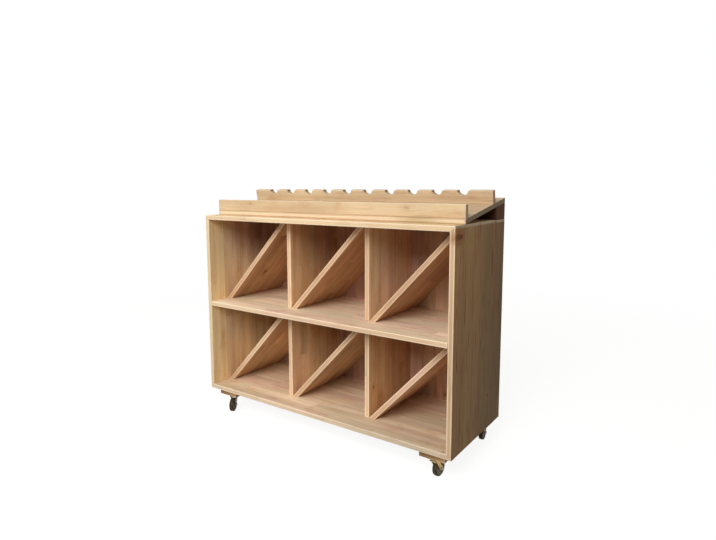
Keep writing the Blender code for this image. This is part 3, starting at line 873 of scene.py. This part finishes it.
def screw_head():
    """The plain domed head of a screw, seen from below."""
    mesh = bpy.data.meshes.new("plate_screw")
    shape = bmesh.new()
    side_drop = -screw_rise * screw_side_share
    dome = [(screw_radius * screw_seat_share, 0.0), (screw_radius, side_drop)]
    for step in range(1, dome_steps):
        turn = math.radians(90 * step / dome_steps)
        drop = screw_side_share + (1 - screw_side_share) * math.sin(turn)
        dome.append((screw_radius * math.cos(turn), -screw_rise * drop))
    rings = []
    for reach, drop in dome:
        rings.append([])
        for step in range(screw_steps):
            turn = math.tau * step / screw_steps
            spot = (reach * math.cos(turn), reach * math.sin(turn), drop)
            rings[-1].append(shape.verts.new(spot))
    for upper, lower in zip(rings, rings[1:]):
        for step in range(screw_steps):
            after = (step + 1) % screw_steps
            shape.faces.new((upper[step], upper[after], lower[after], lower[step]))
    shape.faces.new(rings[0])
    shape.faces.new(rings[-1])
    bmesh.ops.recalc_face_normals(shape, faces=shape.faces)
    shape.to_mesh(mesh)
    shape.free()
    return mesh


def screw_cross():
    """The two crossed bars that a screw's recess is cut with."""
    mesh = bpy.data.meshes.new("screw_cross")
    shape = bmesh.new()
    sizes = (
        screw_radius * cross_length_share,
        screw_radius * cross_width_share,
        screw_rise * cross_depth_share,
        1.0,
    )
    for turn in (0, 90):
        matrix = Matrix.Translation((0, 0, -screw_rise)) @ Matrix.Rotation(math.radians(turn), 4, "Z")
        bmesh.ops.create_cube(shape, size=1.0, matrix=matrix @ Matrix.Diagonal(sizes))
    shape.to_mesh(mesh)
    shape.free()
    return mesh


def screw_mesh():
    """A pan head with a cross recess; the shank stays in the wood."""
    head = link_new("screw_head", screw_head())
    tool = link_new("screw_tool", screw_cross())
    cut = head.modifiers.new("cross", "BOOLEAN")
    cut.operation = "DIFFERENCE"
    cut.object = tool
    cut.use_self = True
    bpy.context.view_layer.update()
    finished = bpy.data.meshes.new_from_object(head.evaluated_get(bpy.context.evaluated_depsgraph_get()))
    bpy.data.objects.remove(head)
    bpy.data.objects.remove(tool)
    round_off(finished)
    finished.name = "plate_screw"
    return finished


def add_piece(name, mesh, matrix, body, material, replaced=()):
    """Link a new piece at its place and let it ride on its body."""
    piece = link_new(name, mesh)
    piece.matrix_world = matrix
    wear_finish(piece, material)
    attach(piece, body)
    if replaced:
        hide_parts(*replaced)


def dress_casters():
    """Metal finishes, finer wheels and the screws of the plates."""
    zinc = make_metal("yellow_zinc")
    zinc_in_shade = make_metal("shaded_zinc")
    steel = make_metal("bright_steel")
    plastic = make_moulded("hub_nylon")
    rubber = make_moulded("tyre_rubber")
    tyre = turned("tyre_form", tyre_profile(), tyre_steps)
    hub = turned("hub_form", hub_profile(), hub_steps)
    screw = screw_mesh()
    joints = {joint["name"]: joint for joint in frame["joints"]}
    for where in corners:
        # All casters but the front right one get the darker zinc, as painted shade
        plating = zinc if where == "front_right" else zinc_in_shade
        for kind in ("caster_plate", "fork"):
            wear_finish(frame["nodes"][kind + "_" + where], plating)
        for kind in ("swivel_race", "kingpin", "axle_bolt", "axle_nut"):
            wear_finish(frame["nodes"][kind + "_" + where], steel)
        spin = joints["wheel_spin_" + where]
        axle = Vector(spin["axis"])
        turn = Matrix((axis_z.cross(axle), axis_z, axle)).transposed().to_4x4()
        matrix = Matrix.Translation(spin["pos_m"]) @ turn
        body = "wheel_" + where
        for name, form, slot, material, replaced in (
            ("rubber_tyre_", tyre, "tyre_rubber", rubber, "tyre_"),
            ("nylon_hub_", hub, "hub_plastic", plastic, "wheel_hub_"),
        ):
            add_piece(name + where, form.copy(), matrix, body, material, [replaced + where])
        place_screws(where, joints["swivel_" + where]["pos_m"], screw, steel)


def place_screws(where, kingpin, screw, steel):
    """Four screws up through the corners of one caster plate, each turned its own way."""
    for index, (side_x, side_y) in enumerate(((1, 1), (-1, 1), (-1, -1), (1, -1))):
        spot = (kingpin[0] + side_x * screw_reach[0], kingpin[1] + side_y * screw_reach[1])
        turn = Matrix.Rotation(screw_turn * index + screw_turn_per_metre * kingpin[0], 4, "Z")
        matrix = Matrix.Translation((*spot, caster_height - plate_thickness)) @ turn
        name = "plate_screw_%s_%d" % (where, index + 1)
        add_piece(name, screw.copy(), matrix, "cabinet", steel)


def dress_case():
    """Pine for the case's four panels, its shelf and its back."""
    finish_board("side_panel_left", axis_y, axis_z, left_look, seed=3.37, gloss=outer_gloss)
    finish_board("side_panel_right", axis_y, axis_z, right_look, seed=8.61, gloss=outer_gloss)
    finish_board("top_panel", axis_y, axis_x, pale_look, seed=5.12)
    finish_board("bottom_panel", axis_y, axis_x, bottom_look, seed=2.45)
    finish_board("shelf", axis_y, axis_x, shelf_look, seed=6.83)
    finish_board("back_panel", axis_x, axis_z, back_look, seed=4.24)


def middle_painted_light(node, depth, height, radius, tint):
    """A spot of painted light or shade, as its tint says, at the middle of a node's width, at a given
    depth and height.
    """
    return (span(node, axis_x)[0], depth, height), radius, tint


def dress_bins():
    """Pine for the dividers and the diagonals."""
    seed = bin_seed
    for tier in ("lower", "upper"):
        for side in ("left", "right"):
            seed += upright_seed_step
            name = "divider_%s_%s" % (tier, side)
            look = {**upright_look, **upright_tones.get(name, {})}
            # Painted light at the foot of each divider, and painted shade at one divider's head
            painted_light = [middle_painted_light(name, *foot_painted_light[tier])]
            if name in head_painted_shade:
                painted_light.append(middle_painted_light(name, *head_painted_shade[name]))
            finish_board(name, axis_y, axis_z, look, seed, painted_light=painted_light)
        for index in (1, 2, 3):
            seed += diagonal_seed_step
            name = "diagonal_%s_%d" % (tier, index)
            # Painted light and shade on the undersides of some diagonals
            painted_light = []
            if name in under_painted_light:
                height = span(name, axis_z)[0]
                painted_light.append(middle_painted_light(name, under_depth, height, under_radius, under_painted_light[name]))
            finish_board(name, axis_y, slope_up, diagonal_look, seed, painted_light=painted_light)


def dress_tray():
    """Pine for the tray on top, and the beam under its rear edge, painted dark as shade."""
    finish_board("tray_floor", tray_y, axis_x, tray_look, seed=7.71)
    finish_board("tray_front_lip", axis_z, axis_x, lip_look, seed=9.18)
    finish_board("bottle_rail", tray_z, axis_x, rail_look, seed=1.36)
    finish_board("rear_riser", axis_z, axis_x, riser_shade_look, seed=2.91, gloss=outer_gloss)


def dress_caster_blocks():
    """Pine for the packing blocks over the casters."""
    for index, where in enumerate(corners):
        name = "caster_block_" + where
        (middle_x, half_x), (middle_y, half_y) = span(name, axis_x), span(name, axis_y)
        left_end = (middle_x - half_x, middle_y - half_y, span(name, axis_z)[0])
        seed = block_seed + block_seed_step * index
        # Painted shade on the block's left end
        finish_board(name, axis_y, axis_x, block_look, seed, painted_light=[(left_end, *block_painted_shade)])


def white_for_camera(shader):
    """1 where a ray comes from the camera, or by way of gloss or glass, and otherwise 0."""
    rays = shader.add("ShaderNodeLightPath", {}).outputs
    seen = shader.math("MAXIMUM", rays["Is Camera Ray"], rays["Is Glossy Ray"])
    return shader.math("MAXIMUM", seen, rays["Is Transmission Ray"])


def make_floor():
    """A pale floor that shows white, keeps a faint shadow and fades into the white around it."""
    mesh = bpy.data.meshes.new("floor")
    shape = bmesh.new()
    bmesh.ops.create_circle(shape, cap_ends=True, segments=floor_segments, radius=floor_radius)
    shape.to_mesh(mesh)
    shape.free()
    floor = link_new("floor", mesh)
    material = bpy.data.materials.new("floor_white")
    material.use_nodes = True
    tree = material.node_tree
    tree.nodes.clear()
    shader = Shader(tree)
    place = shader.add("ShaderNodeTexCoord", {}).outputs["Object"]
    far = shader.smooth(shader.vector("LENGTH", place), *floor_fade)
    near = shader.math("SUBTRACT", 1.0, far)
    speckle = shader.noise(place, 60.0, 3.0)
    grey = shader.math("MULTIPLY_ADD", speckle, floor_speckle, floor_matt - floor_speckle / 2)
    grey = shader.math("MULTIPLY", grey, near)
    glow = shader.math("MULTIPLY_ADD", far, 1.0 - floor_glow, floor_glow)
    matt = shader.add("ShaderNodeBsdfDiffuse", {"Color": shader.join(grey, grey, grey)})
    light = shader.add("ShaderNodeEmission", {"Color": shader.join(glow, glow, glow), "Strength": 1.0})
    seen = shader.add("ShaderNodeAddShader", {0: matt.outputs[0], 1: light.outputs[0]})
    plain = shader.add("ShaderNodeBsdfDiffuse", {"Color": floor_bounce})
    inputs = {0: white_for_camera(shader), 1: plain.outputs[0], 2: seen.outputs[0]}
    both = shader.add("ShaderNodeMixShader", inputs)
    shader.add("ShaderNodeOutputMaterial", {"Surface": both.outputs[0]})
    wear_finish(floor, material)


def make_world():
    """Even light from all around, which shows as white."""
    world = bpy.data.worlds.new("studio")
    world.use_nodes = True
    tree = world.node_tree
    tree.nodes.clear()
    shader = Shader(tree)
    even = shader.add("ShaderNodeBackground", {"Color": sky_colour, "Strength": sky_strength})
    white = shader.add("ShaderNodeBackground", {"Color": (1, 1, 1, 1), "Strength": 1.0})
    inputs = {0: white_for_camera(shader), 1: even.outputs[0], 2: white.outputs[0]}
    both = shader.add("ShaderNodeMixShader", inputs)
    shader.add("ShaderNodeOutputWorld", {"Surface": both.outputs[0]})
    bpy.context.scene.world = world


def add_lamp(name, target, heading, rise, distance, size, level):
    """A soft square lamp aimed at a point. Level is what a white face turned to it would show."""
    heading = math.radians(heading)
    rise = math.radians(rise)
    away = (math.sin(heading) * math.cos(rise), -math.cos(heading) * math.cos(rise), math.sin(rise))
    spot = Vector(target) + distance * Vector(away)
    lamp = bpy.data.lights.new(name, "AREA")
    lamp.shape = "SQUARE"
    lamp.size = size
    lamp.energy = level * (math.pi * distance) ** 2
    turn = Vector(away).to_track_quat("Z", "Y").to_matrix().to_4x4()
    link_new(name, lamp).matrix_world = Matrix.Translation(spot) @ turn


def make_camera():
    """The camera that the photograph was taken with, as far as its straight edges tell."""
    data = bpy.data.cameras.new("camera")
    data.sensor_width = sensor_width
    data.lens = camera_lens
    data.shift_y = camera_shift_y
    camera = link_new("camera", data)
    turn = Matrix.Rotation(camera_heading, 4, "Z") @ Matrix.Rotation(math.pi / 2 - camera_dip, 4, "X")
    turn = turn @ Matrix.Rotation(camera_roll, 4, "Z")
    camera.matrix_world = Matrix.Translation(camera_place) @ turn
    bpy.context.scene.camera = camera


board_group = make_board_group()
dress_case()
dress_bins()
dress_tray()
dress_caster_blocks()
dress_casters()
make_floor()
make_world()
add_lamp("key", *key_lamp)
add_lamp("fill", *fill_lamp)
make_camera()
bpy.context.scene.view_settings.view_transform = "Standard"
